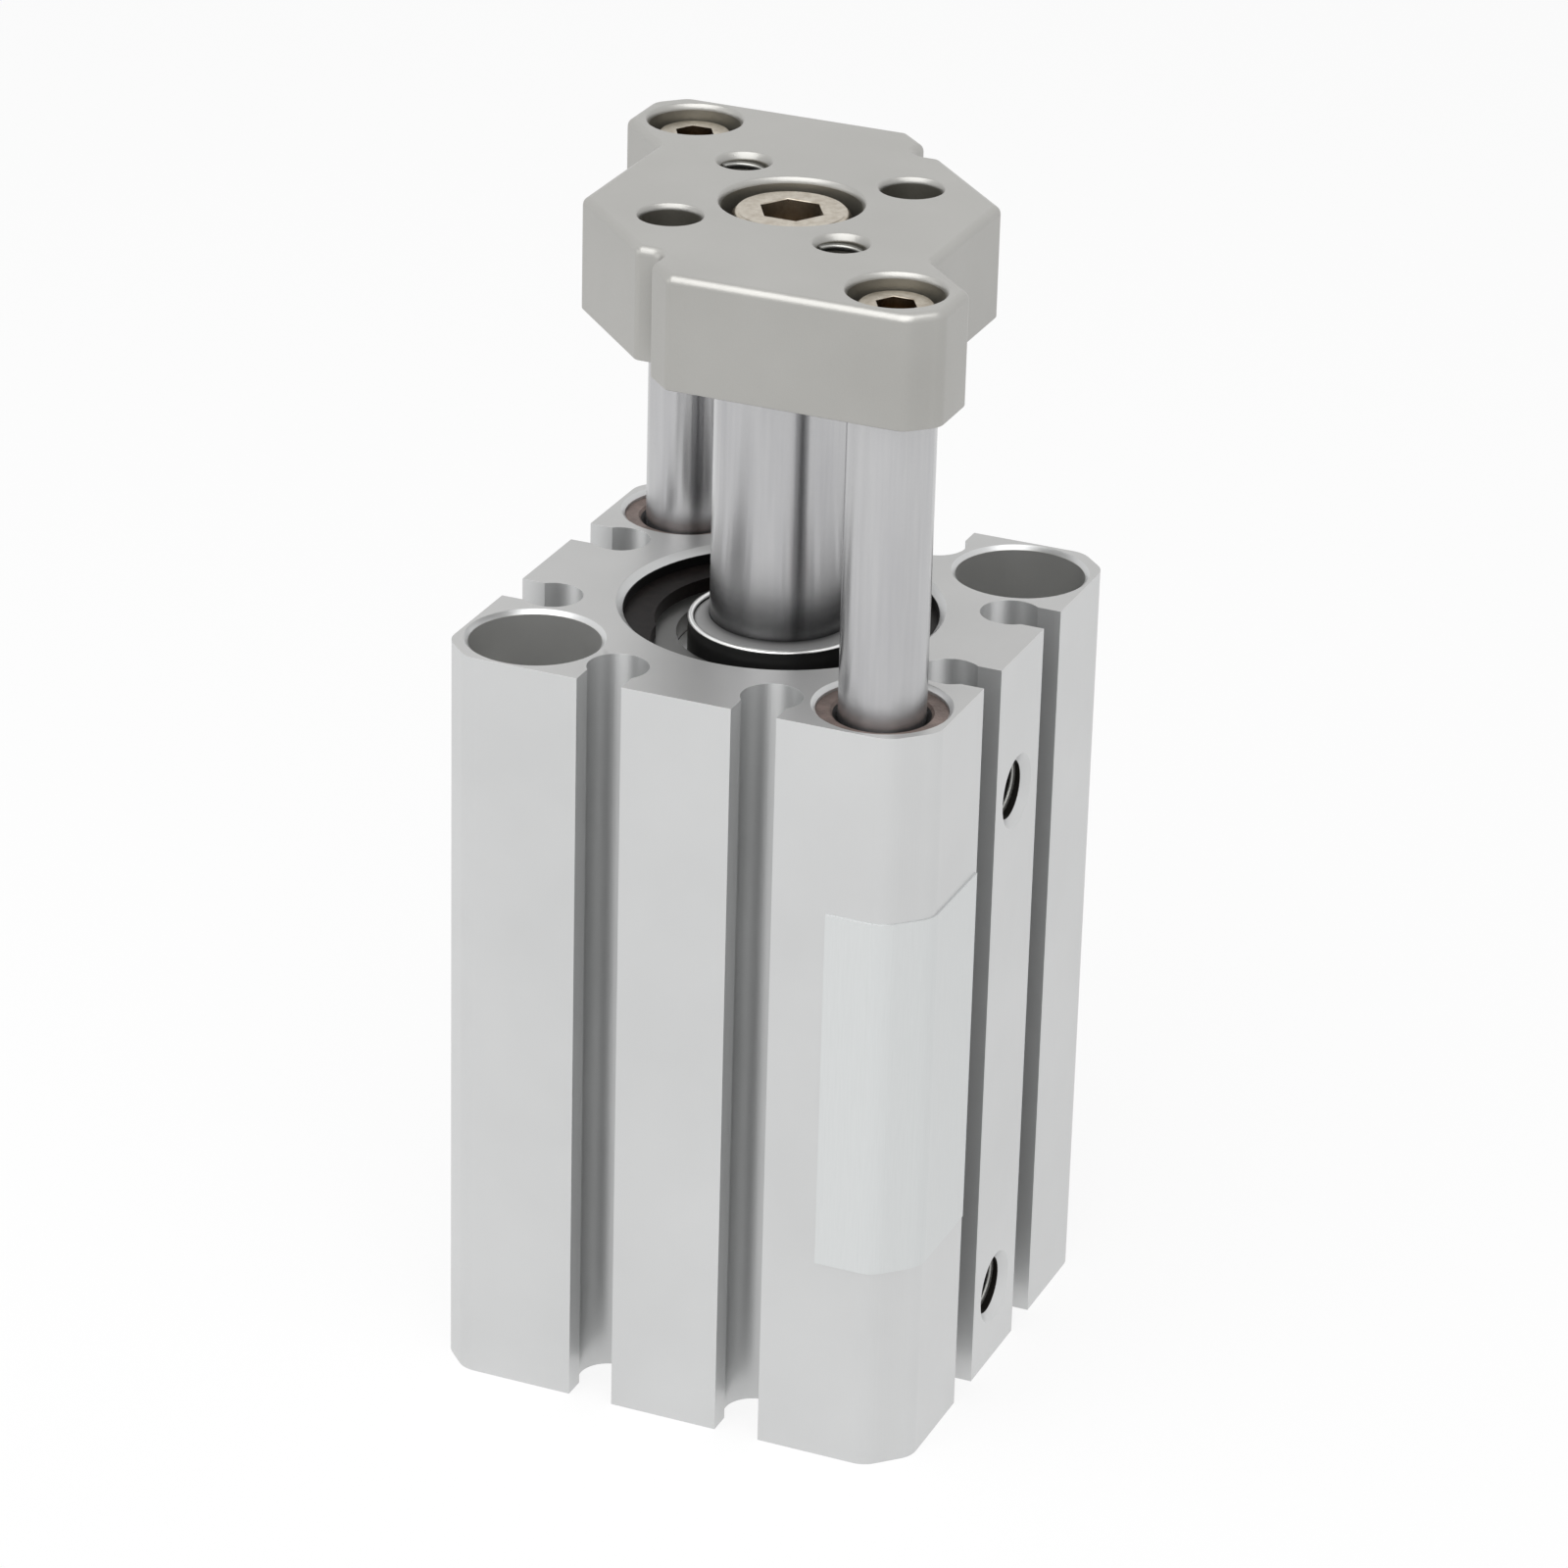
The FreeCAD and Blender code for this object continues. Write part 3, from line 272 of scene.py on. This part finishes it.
def anodised_extrusion():
    """Pale satin anodised aluminium with lines along it; its cut end faces are darker, partly a
    finish of their own and partly painted shade; painted shade darkens its recesses, and the bore
    and the ports are painted near black as shade.
    """
    t = NodeTree("anodised_extrusion")
    place = t.place()
    lines = t.noise(t.stretched(place, (1.0, 1.0, 0.02)), scale=9000.0, detail=4.0)
    grain = t.noise(place, scale=14000.0, detail=2.0)
    clouds = t.noise(place, scale=90.0)
    in_port = t.math("ADD", inside_port(t, place, "head_port"),
                     inside_port(t, place, "rod_port"))
    up = t.node("SeparateXYZ", Vector=t.node("NewGeometry").outputs["Normal"]).outputs["Z"]
    end_face = t.math("GREATER_THAN", t.math("ABSOLUTE", up), 0.9)
    sides = t.mottled(clouds, (0.595, 0.60, 0.60), (0.63, 0.635, 0.635))
    # painted shade: the end faces are darker than the sides, partly a finish of their own
    shaded_ends = t.mottled(clouds, (0.485, 0.485, 0.48), (0.52, 0.52, 0.515))
    walls = t.mottled(clouds, (0.54, 0.54, 0.53), (0.58, 0.58, 0.57))
    counterbores = [(mount(name)["pos_m"], COUNTERBORE_REACH)
                    for name in ("mount_hole_left", "mount_hole_right")]
    colour = t.switch(end_face, sides, shaded_ends)
    # painted shade in the slots and other recesses
    colour = t.painted_hollow_shade(colour, reach=5 * MM, darkest=0.85)
    colour = recolour_holes(t, place, colour, walls, counterbores)
    # painted shade: the wall of the bore is near black
    colour = recolour_holes(t, place, colour, grey(0.012), [((0.0, 0.0), BORE_REACH)])
    # painted shade: the insides of the ports are near black
    colour = t.switch(in_port, colour, (0.03, 0.028, 0.024, 1.0))
    normal = t.bump(lines, depth=0.004 * MM, normal=t.bump(grain, depth=0.003 * MM))
    return t.finish(Base_Color=colour, Metallic=0.75,
                    Roughness=t.between(lines, 0.30, 0.38), Normal=normal)


def plate_holes():
    """Centre and radius of the holes in the guide plate."""
    holes = []
    for name, gap in SCREW_GAPS.items():
        centre, radius = centre_and_radius(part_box(name))
        holes.append((centre, radius + gap + PAINTED_DARK_MARGIN))
    for name, side in (("plate_plain_holes", 1), ("plate_tapped_holes", -1)):
        offset = plate_hole_offset(name)
        radius = mount(name)["dims"]["hole_r_mm"] * MM + PAINTED_DARK_MARGIN
        holes.append(((offset, offset * side), radius))
        holes.append(((-offset, -offset * side), radius))
    return holes


def blasted_aluminium():
    """Fine bead-blasted aluminium, slightly warm, with painted shade in its recesses and the
    walls of its holes painted dark as shade.
    """
    t = NodeTree("blasted_aluminium")
    place = t.place()
    grain = t.noise(place, scale=9000.0, detail=4.0, roughness=0.6)
    clouds = t.noise(place, scale=120.0)
    colour = t.mottled(clouds, (0.395, 0.39, 0.371), (0.42, 0.415, 0.396))
    # painted shade in the recesses
    colour = t.painted_hollow_shade(colour, reach=5 * MM, darkest=0.3)
    # painted shade: the walls of the holes and counterbores are dark
    walls = t.mottled(clouds, (0.20, 0.19, 0.165), (0.25, 0.24, 0.21))
    colour = recolour_holes(t, place, colour, walls, plate_holes())
    return t.finish(Base_Color=colour, Metallic=0.8, Roughness=0.36,
                    Normal=t.bump(grain, depth=0.012 * MM))


def turned_aluminium(name, colour):
    """Lathe-turned aluminium, with fine rings round the axis, and painted shade in its recesses.
    """
    t = NodeTree(name)
    place = t.place()
    rings = t.noise(t.stretched(place, (0.05, 0.05, 1.0)), scale=16000.0, detail=2.0)
    clouds = t.noise(place, scale=200.0)
    # painted shade in the recesses
    mixed = t.painted_hollow_shade(t.mottled(clouds, tint(colour, 0.92), colour), reach=5 * MM, darkest=0.15)
    return t.finish(Base_Color=mixed, Metallic=0.9, Roughness=0.35,
                    Normal=t.bump(rings, depth=0.004 * MM))


def hard_chrome():
    """Ground and polished hard chrome, with hardly visible grinding lines round the rod.

    The reflections are drawn out along the rod, and stripes along it are painted into its colour
    as reflections. The piston rod is painted dark at its foot as the reflection of the bore round
    it.
    """
    t = NodeTree("hard_chrome")
    place = t.place()
    rings = t.noise(t.stretched(place, (0.03, 0.03, 1.0)), scale=12000.0, detail=3.0)
    # painted reflection: the colour wanders in stripes along the rod
    clouds = t.noise(t.stretched(place, (1.0, 1.0, 0.15)), scale=400.0)
    reflection_streaks = t.noise(t.stretched(place, (1.0, 1.0, 0.03)), scale=2500.0, detail=4.0)
    pattern = t.math("ADD", t.math("MULTIPLY", clouds, 0.7), t.math("MULTIPLY", reflection_streaks, 0.3))
    colour = t.mottled(pattern, (0.44, 0.44, 0.45), (0.53, 0.53, 0.535))
    # painted reflection: dark at the piston rod's foot, where it mirrors the bore
    in_bore = t.painted_hollow_shade(colour, reach=6 * MM, darkest=0.1, own=False, closed=0.5, clear=0.92)
    centre, radius = centre_and_radius(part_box("piston_rod"))
    colour = recolour_holes(t, place, colour, in_bore, [(centre, radius + PAINTED_DARK_MARGIN)])
    around = t.node("Tangent")
    around.direction_type = "RADIAL"
    around.axis = "Z"
    return t.finish(Base_Color=colour, Metallic=1.0, Roughness=t.between(rings, 0.21, 0.28),
                    Anisotropic=0.9, Anisotropic_Rotation=0.25,
                    Tangent=around.outputs["Tangent"], Normal=t.bump(rings, depth=0.0004 * MM))


def sintered_bronze():
    """Brown oil-filled sintered bronze, with open pores, and painted shade in the gap round each
    guide rod.
    """
    t = NodeTree("sintered_bronze")
    place = t.place()
    pores = t.node("TexVoronoi", Vector=place, Scale=6000.0).outputs["Distance"]
    clouds = t.noise(place, scale=900.0, detail=4.0)
    colour = t.mottled(clouds, (0.12, 0.088, 0.076), (0.225, 0.168, 0.148))
    # painted shade: a near-black ring in the gap round each guide rod
    shaded_gaps = []
    for name in ("guide_rod_front", "guide_rod_back"):
        centre, radius = centre_and_radius(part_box(name))
        shaded_gaps.append((centre, radius + SHADED_GAP_WIDTH + PAINTED_DARK_MARGIN))
    colour = recolour_holes(t, place, colour, (0.008, 0.007, 0.007, 1.0), shaded_gaps)
    return t.finish(Base_Color=colour, Metallic=0.5, Roughness=0.45,
                    Normal=t.bump(pores, depth=0.02 * MM))


def black_spring_steel():
    """Phosphated spring steel, black with a brown cast."""
    t = NodeTree("black_spring_steel")
    clouds = t.noise(t.place(), scale=1500.0, detail=4.0)
    colour = t.mottled(clouds, (0.005, 0.004, 0.004), (0.012, 0.009, 0.008))
    return t.finish(Base_Color=colour, Roughness=0.4, Specular_IOR_Level=0.08,
                    Normal=t.bump(clouds, depth=0.004 * MM))


def pressed_steel():
    """Bright pressed steel on top; its upright sides are painted black and dull as the shade and
    dark reflection of the recess round it.
    """
    t = NodeTree("pressed_steel")
    marks = t.noise(t.stretched(t.place(), (0.1, 0.1, 1.0)), scale=9000.0)
    bright = t.mottled(marks, (0.74, 0.74, 0.73), (0.84, 0.84, 0.83))
    up = t.node("SeparateXYZ", Vector=t.node("NewGeometry").outputs["True Normal"]).outputs["Z"]
    # painted shade: the upright sides are black and not metallic
    top = t.math("GREATER_THAN", up, 0.2)
    return t.finish(Base_Color=t.switch(top, grey(0.012), bright), Metallic=top, Roughness=0.3,
                    Normal=t.bump(marks, depth=0.002 * MM))


def plated_screw():
    """Nickel-plated steel, slightly warm, with painted brown shade in its recesses."""
    t = NodeTree("plated_screw")
    spots = t.noise(t.place(), scale=1500.0, detail=5.0, roughness=0.6)
    colour = t.ramp(spots, [(0.35, (0.40, 0.35, 0.28)), (0.6, (0.53, 0.485, 0.41))])
    # painted shade, tinted brown, in the hex socket and round the head
    colour = t.painted_hollow_shade(colour, reach=3 * MM, darkest=(0.34, 0.22, 0.10))
    return t.finish(Base_Color=colour, Metallic=1.0, Roughness=t.between(spots, 0.34, 0.24),
                    Normal=t.bump(spots, depth=0.006 * MM))


def rubber(name, colour, roughness):
    """Moulded rubber, urethane or bonded ferrite with a dull grain."""
    t = NodeTree(name)
    grain = t.noise(t.place(), scale=5000.0, detail=4.0)
    mixed = t.mottled(grain, tint(colour, 0.75), colour)
    return t.finish(Base_Color=mixed, Roughness=roughness,
                    Normal=t.bump(grain, depth=0.006 * MM))


def wiper_lip():
    """Grey wiper rubber with a sheen, with painted shade where it meets the rod and at its outer
    edge, and painted light between.
    """
    t = NodeTree("wiper_lip")
    place = t.place()
    across = t.node("MapRange", Value=apart_from(t, place, (0.0, 0.0)),
                    From_Min=WIPER_INNER_RADIUS, From_Max=WIPER_OUTER_RADIUS)
    # painted shade and light across the lip
    colour = t.ramp(across.outputs["Result"],
                    [(0.05, 0.02), (0.3, 0.16), (0.8, 0.30), (1.0, 0.12)])
    grain = t.noise(place, scale=5000.0)
    return t.finish(Base_Color=colour, Roughness=0.4, Normal=t.bump(grain, depth=0.004 * MM))


def label_film():
    """Blank pale silver film with a satin face."""
    t = NodeTree("label_film")
    brushing = t.noise(t.stretched(t.place(), (1.0, 1.0, 0.04)), scale=12000.0, detail=3.0)
    colour = t.mottled(brushing, (0.63, 0.645, 0.645), (0.65, 0.665, 0.665))
    return t.finish(Base_Color=colour, Metallic=0.55, Roughness=0.33,
                    Normal=t.bump(brushing, depth=0.001 * MM))


def make_materials():
    """One Blender material for each of the record's material slots."""
    return {
        "tube_aluminium": anodised_extrusion(),
        "plate_aluminium": blasted_aluminium(),
        # painted shade: the rod cover's face, down in the bore, is given a very dark colour
        "cover_aluminium": turned_aluminium("cover_aluminium", (0.19, 0.19, 0.184)),
        "piston_aluminium": turned_aluminium("piston_aluminium", (0.66, 0.66, 0.65)),
        "rod_chrome": hard_chrome(),
        "bush_bronze": sintered_bronze(),
        "clip_steel": black_spring_steel(),
        "scraper_steel": pressed_steel(),
        "seal_rubber": rubber("seal_rubber", (0.03, 0.03, 0.03), 0.55),
        "lip_rubber": wiper_lip(),
        "bumper_urethane": rubber("bumper_urethane", (0.30, 0.22, 0.12), 0.4),
        "magnet_ferrite": rubber("magnet_ferrite", (0.06, 0.06, 0.06), 0.5),
        "wear_polymer": rubber("wear_polymer", (0.12, 0.12, 0.11), 0.45),
        "screw_steel": plated_screw(),
        "label_film": label_film(),
    }


def break_edges(node, width, angle):
    """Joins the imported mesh's faces and bevels its sharp edges."""
    weld = node.modifiers.new("join_faces", "WELD")
    weld.merge_threshold = 0.5e-6
    flat = node.modifiers.new("merge_flats", "DECIMATE")
    flat.decimate_type = "DISSOLVE"
    flat.angle_limit = math.radians(0.2)
    bevel = node.modifiers.new("edge_break", "BEVEL")
    bevel.width = width
    bevel.segments = 2
    bevel.limit_method = "ANGLE"
    bevel.angle_limit = angle
    normals = node.modifiers.new("flat_faces", "WEIGHTED_NORMAL")
    normals.weight = 100


def dress_nodes(materials):
    """Gives every CAD node its material, and a small edge break where it is machined."""
    slots = {part["node"]: part["material_slot"] for part in frame["record"]["subparts"]}
    for name, node in frame["nodes"].items():
        for slot in node.material_slots:
            slot.link = "OBJECT"
            slot.material = materials[slots[name]]
    for name, (width, angle) in EDGE_BREAKS.items():
        break_edges(frame["nodes"][name], width, math.radians(angle))


# Pieces that only the picture needs.

def add_piece(name, vertices, faces, material, body):
    """A smooth mesh that rides on one of the bodies."""
    mesh = bpy.data.meshes.new(name)
    mesh.from_pydata(vertices, [], faces)
    mesh.validate()
    mesh.shade_smooth()
    mesh.materials.append(material)
    piece = bpy.data.objects.new(name, mesh)
    bpy.context.scene.collection.objects.link(piece)
    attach(piece, body)


def thread_ridge(name, mouth, inward, radius, thread, material, body):
    """The helical crest of a thread inside a hole that runs inward from its mouth."""
    pitch, start, turns = thread
    turn = Vector(inward).to_track_quat("Z", "Y").to_matrix()
    steps = THREAD_STEPS_PER_TURN
    section = [(radius + THREAD_ROOT, -THREAD_FLANK_PITCHES), (radius - THREAD_HEIGHT, 0.0),
               (radius + THREAD_ROOT, THREAD_FLANK_PITCHES)]
    vertices = []
    for index in range(turns * steps + 1):
        angle = math.tau * index / steps
        depth = start + pitch * index / steps
        for reach, shift in section:
            point = Vector((reach * math.cos(angle), reach * math.sin(angle),
                            depth + shift * pitch))
            vertices.append(Vector(mouth) + turn @ point)
    faces = [(0, 1, 2)]
    for index in range(turns * steps):
        first = 3 * index
        for corner in range(3):
            after = (corner + 1) % 3
            faces.append((first + corner, first + after, first + 3 + after, first + 3 + corner))
    last = 3 * turns * steps
    faces.append((last + 2, last + 1, last))
    add_piece(name, vertices, faces, material, body)


def torus(name, height, radius, thickness, material, body):
    """A thin ring of wire round the axis."""
    around, section = 128, 12
    vertices = []
    for index in range(around):
        angle = math.tau * index / around
        for corner in range(section):
            turn = math.tau * corner / section
            reach = radius + thickness * math.cos(turn)
            vertices.append((reach * math.cos(angle), reach * math.sin(angle),
                             height + thickness * math.sin(turn)))
    faces = []
    for index in range(around):
        first, second = section * index, section * ((index + 1) % around)
        for corner in range(section):
            after = (corner + 1) % section
            faces.append((first + corner, second + corner, second + after, first + after))
    add_piece(name, vertices, faces, material, body)


def make_pieces(materials):
    """Thread crests in the ports and the plate, and the rolled rim of the scraper."""
    bare = turned_aluminium("bare_threads", (0.42, 0.42, 0.40))
    for name in ("head_port", "rod_port"):
        port = mount(name)
        mouth = (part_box("cylinder_tube")[1].x, 0.0, port["pos_m"][2])
        thread_ridge(f"{name}_thread", mouth, (-1.0, 0.0, 0.0), port["dims"]["r_mm"] * MM,
                     PORT_THREAD, bare, "cylinder_body")
    holes = mount("plate_tapped_holes")
    offset = plate_hole_offset("plate_tapped_holes")
    for name, side in (("front", 1), ("back", -1)):
        mouth = (offset * side, -offset * side, holes["pos_m"][2])
        thread_ridge(f"plate_thread_{name}", mouth, (0.0, 0.0, -1.0),
                     holes["dims"]["hole_r_mm"] * MM, PLATE_THREAD, bare, "rod_carriage")
    torus("scraper_rim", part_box("scraper_case")[1].z - RIM_SINK, SCRAPER_RADIUS - RIM_THICKNESS,
          RIM_THICKNESS, materials["scraper_steel"], "cylinder_body")


# Studio.

def direction(azimuth, elevation):
    """The direction towards an azimuth and elevation in degrees; 0, 0 is in front, along -Y."""
    azimuth, elevation = math.radians(azimuth), math.radians(elevation)
    return Vector((math.sin(azimuth) * math.cos(elevation),
                   -math.cos(azimuth) * math.cos(elevation), math.sin(elevation)))


def make_camera():
    back = direction(CAMERA_AZIMUTH, CAMERA_ELEVATION)
    right = direction(CAMERA_AZIMUTH + 90, 0)
    up = back.cross(right)
    roll = Matrix.Rotation(math.radians(CAMERA_ROLL), 3, back)
    turn = Matrix((roll @ right, roll @ up, back)).transposed().to_4x4()
    camera = bpy.data.objects.new("camera", bpy.data.cameras.new("camera"))
    bpy.context.scene.collection.objects.link(camera)
    camera.data.lens = CAMERA_LENS
    camera.data.clip_start = 0.01
    camera.data.clip_end = 10.0
    camera.matrix_world = Matrix.Translation(CAMERA_AIM + back * CAMERA_DISTANCE) @ turn
    bpy.context.scene.camera = camera


def make_light(name, azimuth, elevation, distance, size, power):
    """A square soft light that looks at the object from an azimuth and elevation in degrees."""
    back = direction(azimuth, elevation)
    light = bpy.data.objects.new(name, bpy.data.lights.new(name, "AREA"))
    bpy.context.scene.collection.objects.link(light)
    light.data.shape = "SQUARE"
    light.data.size = size
    light.data.energy = power
    light.location = CAMERA_AIM + back * distance
    light.rotation_mode = "QUATERNION"
    light.rotation_quaternion = back.to_track_quat("Z", "Y")


def seen_directly(tree):
    """1 for rays from the camera and for mirror and glass rays, 0 for diffuse ones."""
    path = tree.nodes.new("ShaderNodeLightPath")
    total = path.outputs["Is Camera Ray"]
    for name in ("Is Glossy Ray", "Is Transmission Ray"):
        either = tree.nodes.new("ShaderNodeMath")
        either.operation = "MAXIMUM"
        tree.links.new(total, either.inputs[0])
        tree.links.new(path.outputs[name], either.inputs[1])
        total = either.outputs[0]
    return total


def make_world():
    """White where it is seen, and a softer fill for diffuse light."""
    world = bpy.data.worlds.new("studio")
    world.use_nodes = True
    bpy.context.scene.world = world
    tree = world.node_tree
    background = tree.nodes["Background"]
    strength = tree.nodes.new("ShaderNodeMapRange")
    tree.links.new(seen_directly(tree), strength.inputs["Value"])
    strength.inputs["To Min"].default_value = WORLD_FILL
    strength.inputs["To Max"].default_value = 1.0
    background.inputs["Color"].default_value = grey(1.0)
    tree.links.new(strength.outputs["Result"], background.inputs["Strength"])


def floor_material():
    """White with the object's shadow from above, and clear from below."""
    t = NodeTree("floor")
    t.finish(Base_Color=grey(0.92), Roughness=0.9)
    glow = t.node("Emission", Color=grey(1.0), Strength=1.0)
    from_above = t.node("MixShader")
    t.feed(from_above.inputs["Fac"], t.math("MULTIPLY", seen_directly(t.tree), FLOOR_GLOW_SHARE))
    t.feed(from_above.inputs[1], t.shader.outputs["BSDF"])
    t.feed(from_above.inputs[2], glow.outputs["Emission"])
    both_sides = t.node("MixShader")
    t.feed(both_sides.inputs["Fac"], t.node("NewGeometry").outputs["Backfacing"])
    t.feed(both_sides.inputs[1], from_above.outputs["Shader"])
    t.feed(both_sides.inputs[2], t.node("BsdfTransparent").outputs["BSDF"])
    t.feed(t.tree.nodes["Material Output"].inputs["Surface"], both_sides.outputs["Shader"])
    return t.material


def make_floor():
    height = cad_box[0].z - FLOOR_GAP
    corners = [(x * FLOOR_HALF_WIDTH, y * FLOOR_HALF_WIDTH, height)
               for x, y in ((-1, -1), (1, -1), (1, 1), (-1, 1))]
    mesh = bpy.data.meshes.new("floor")
    mesh.from_pydata(corners, [], [(0, 1, 2, 3)])
    mesh.materials.append(floor_material())
    floor = bpy.data.objects.new("floor", mesh)
    bpy.context.scene.collection.objects.link(floor)


bpy.context.scene.view_settings.view_transform = "Standard"
make_camera()
make_world()
make_floor()
make_light("overhead", azimuth=8, elevation=58, distance=0.6, size=0.8, power=4.0)
make_light("side", azimuth=-65, elevation=8, distance=0.7, size=0.4, power=0.3)
materials = make_materials()
dress_nodes(materials)
make_pieces(materials)
